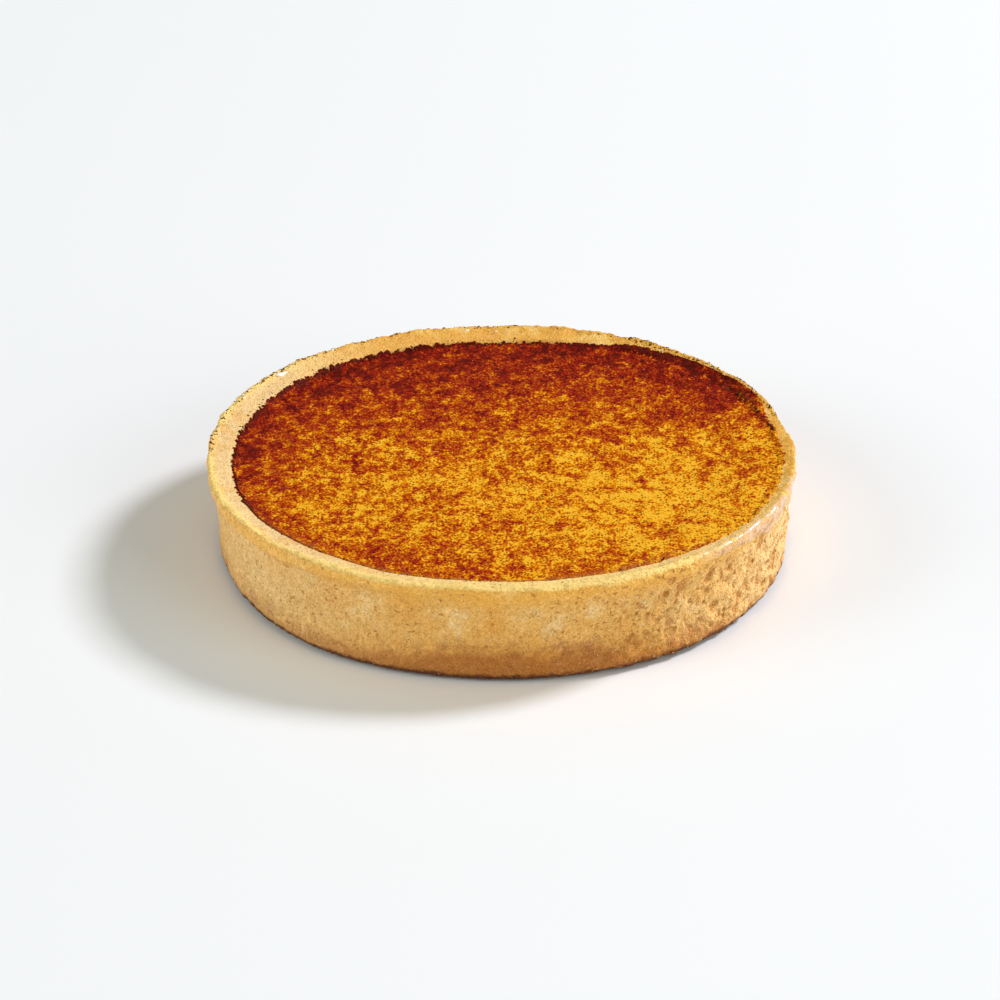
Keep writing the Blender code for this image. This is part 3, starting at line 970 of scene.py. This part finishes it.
BURNT_BLACK = (0.036, 0.010, 0.004, 1)
BURNT_BROWN = (0.24, 0.038, 0.006, 1)

char, shader, place = new_finish("charred_sugar", roughness=0.5, specular=0.04)
shade = place.clouds(0.35 * MM, 2) + (place.clouds(3 * MM, 1) - 0.5)
plug(shade.rise(0.35, 0.75).over(BURNT_BLACK, BURNT_BROWN), shader, "Base Color")
crumbs.data.materials.append(char)

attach(crumbs, "root")

# ========================================================================================================
# Melted sugar beads
# A few beads of clear sugar that melted but didn't brown: glassy drops on the slope at the back and the back
# left, and single grains on the custard. Their near-white colour is painted glint.
# ========================================================================================================
BEAD_ROWS = (
    (4, (140, 144), "axis", (48.0, 48.6), (0.7, 1.6)),
    (3, (152, 157), "axis", (48.6, 49.2), (0.4, 1.0)),
    (2, (168, 172), "axis", (48.2, 48.8), (0.4, 1.0)),
    (3, (127, 131), "axis", (48.9, 49.4), (0.4, 1.0)),
    (3, (90, 98), "axis", (47.6, 49.0), (0.4, 0.9)),
    (24, (60, 200), "axis", (33, 45), (0.08, 0.17)),
    (10, (0, 60), "axis", (36, 45), (0.08, 0.18)),
)
beads = scatter("melted_sugar_beads", BEAD_ROWS, 0.28, math.radians(25))

BEAD_GLINT_CREAM = (0.95, 0.90, 0.80, 1)
BEAD_GLINT_WHITE = (0.97, 0.96, 0.93, 1)

sugar_with_painted_glint, shader, place = new_finish("sugar_with_painted_glint", roughness=0.10, specular=0.9)
# Painted glint: the beads are coloured near-white where clear sugar would only catch the light.
plug(place.clouds(0.8 * MM, 1).rise(0.3, 0.7).over(BEAD_GLINT_CREAM, BEAD_GLINT_WHITE), shader, "Base Color")
beads.data.materials.append(sugar_with_painted_glint)

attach(beads, "root")

# ========================================================================================================
# Table, light and camera
# A plain pale table top, one soft key light from behind on the right, low fills from the left and the front
# right, and even light all round. None of it is part of the tartlet.
# ========================================================================================================
TABLE_WHITE = (0.872, 0.890, 0.910, 1)
TABLE_SIZE = 6.0
TABLE_GAP = 0.02 * MM

bpy.ops.mesh.primitive_plane_add(size=TABLE_SIZE, location=(0, 0, -TABLE_GAP))
table = bpy.context.object
table.name = "table_top"
paint, shader, place = new_finish("pale_table", roughness=0.5, specular=0.2)
shader.inputs["Base Color"].default_value = TABLE_WHITE
table.data.materials.append(paint)


def soft_light(name, direction, elevation, distance, size, power, colour):
    """A round area light that looks at the tartlet from this direction and elevation, in degrees."""
    lamp = bpy.data.lights.new(name, "AREA")
    lamp.shape = "DISK"
    lamp.size = size
    lamp.energy = power
    lamp.color = colour
    light = bpy.data.objects.new(name, lamp)
    bpy.context.scene.collection.objects.link(light)
    rise = math.radians(elevation)
    from_tartlet = towards(direction) * math.cos(rise) + Vector((0, 0, math.sin(rise)))
    light.location = from_tartlet * distance
    light.rotation_euler = from_tartlet.to_track_quat("Z", "Y").to_euler()


# Name, direction and elevation in degrees, distance and size in metres, watts, and colour.
LIGHTS = (
    ("key", 27, 37.5, 2.5, 0.56, 57.0, (0.92, 0.91, 0.98)),
    ("left_fill", 201, 24, 2.2, 1.6, 21.0, (1.0, 0.99, 0.92)),
    ("right_fill", 326, 24, 2.2, 1.6, 17.0, (1.0, 0.99, 0.91)),
)
for name, direction, elevation, distance, size, power, colour in LIGHTS:
    soft_light(name, direction, elevation, distance, size, power, colour)

world = bpy.data.worlds.new("even_light")
world.use_nodes = True
background = world.node_tree.nodes["Background"]
background.inputs["Color"].default_value = (0.97, 1.0, 0.91, 1)
background.inputs["Strength"].default_value = 0.31
bpy.context.scene.world = world

PICTURE_WIDTH = 1000
CAMERA_DISTANCE = 15 * RIM_RADIUS
CAMERA_ELEVATION = math.radians(26.75)
CAMERA_PITCH = math.radians(27.38)
FOCAL_PIXELS = 4452.0
RIM_CENTRE = Vector((-0.25 * MM, 0.0, 17.1 * MM))

lens = bpy.data.cameras.new("camera")
lens.sensor_width = 36.0
lens.lens = lens.sensor_width * FOCAL_PIXELS / PICTURE_WIDTH
lens.clip_start = 0.05
lens.clip_end = 20
camera = bpy.data.objects.new("camera", lens)
bpy.context.scene.collection.objects.link(camera)
camera.location = RIM_CENTRE + CAMERA_DISTANCE * Vector(
    (0, -math.cos(CAMERA_ELEVATION), math.sin(CAMERA_ELEVATION))
)
camera.rotation_euler = (math.pi / 2 - CAMERA_PITCH, 0, 0)
bpy.context.scene.camera = camera
bpy.context.scene.view_settings.view_transform = "Standard"
